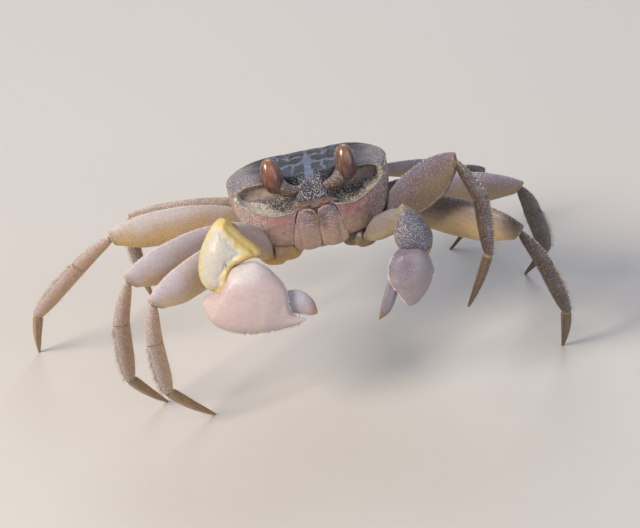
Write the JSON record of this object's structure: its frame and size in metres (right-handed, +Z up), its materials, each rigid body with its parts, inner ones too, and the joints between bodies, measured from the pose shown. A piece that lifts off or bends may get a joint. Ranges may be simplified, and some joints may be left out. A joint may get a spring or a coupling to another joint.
{
  "type": "ghost crab",
  "caption": "Life-size still model of a sand-dwelling crab standing on its walking legs, claws drawn up under its face and stalked eyes raised.",
  "frame": {"origin": "on the floor under the centre of the bounding box", "axes": "+Z up, the crab faces -Y, its left side is +X; the span of the legs lies along X"},
  "size_m": [0.0798, 0.0436, 0.0396],
  "materials": {
    "mottled_shell": "finely granular shell, blue-black blotches on lilac grey",
    "pale_shell": "satin, dusty pink to ivory shell",
    "leg_shell": "satin, translucent olive brown and lilac shell",
    "claw_shell": "satin, granular lilac to cream shell",
    "cornea": "glossy reddish brown"
  },
  "bodies": {
    "root": {"breast_plate": "pale_shell", "carapace": "mottled_shell", "claw_left_carpus": "claw_shell", "claw_left_finger": "pale_shell", "claw_left_merus": "claw_shell", "claw_left_palm": "claw_shell", "claw_right_carpus": "claw_shell", "claw_right_finger": "pale_shell", "claw_right_merus": "claw_shell", "claw_right_palm": "claw_shell", "eye_left": "cornea", "eye_right": "cornea", "eyestalk_left": "mottled_shell", "eyestalk_right": "mottled_shell", "feeler_left": "pale_shell", "feeler_right": "pale_shell", "leg_1_left_carpus": "leg_shell", "leg_1_left_dactylus": "leg_shell", "leg_1_left_ischium": "leg_shell", "leg_1_left_merus": "leg_shell", "leg_1_left_propodus": "leg_shell", "leg_1_right_carpus": "leg_shell", "leg_1_right_dactylus": "leg_shell", "leg_1_right_ischium": "leg_shell", "leg_1_right_merus": "leg_shell", "leg_1_right_propodus": "leg_shell", "leg_2_left_carpus": "leg_shell", "leg_2_left_dactylus": "leg_shell", "leg_2_left_ischium": "leg_shell", "leg_2_left_merus": "leg_shell", "leg_2_left_propodus": "leg_shell", "leg_2_right_carpus": "leg_shell", "leg_2_right_dactylus": "leg_shell", "leg_2_right_ischium": "leg_shell", "leg_2_right_merus": "leg_shell", "leg_2_right_propodus": "leg_shell", "leg_3_left_carpus": "leg_shell", "leg_3_left_dactylus": "leg_shell", "leg_3_left_ischium": "leg_shell", "leg_3_left_merus": "leg_shell", "leg_3_left_propodus": "leg_shell", "leg_3_right_carpus": "leg_shell", "leg_3_right_dactylus": "leg_shell", "leg_3_right_ischium": "leg_shell", "leg_3_right_merus": "leg_shell", "leg_3_right_propodus": "leg_shell", "leg_4_left_carpus": "leg_shell", "leg_4_left_dactylus": "leg_shell", "leg_4_left_ischium": "leg_shell", "leg_4_left_merus": "leg_shell", "leg_4_left_propodus": "leg_shell", "leg_4_right_carpus": "leg_shell", "leg_4_right_dactylus": "leg_shell", "leg_4_right_ischium": "leg_shell", "leg_4_right_merus": "leg_shell", "leg_4_right_propodus": "leg_shell", "mouth_plate_left": "pale_shell", "mouth_plate_right": "pale_shell", "tail_flap": "pale_shell"}
  },
  "joints": []
}
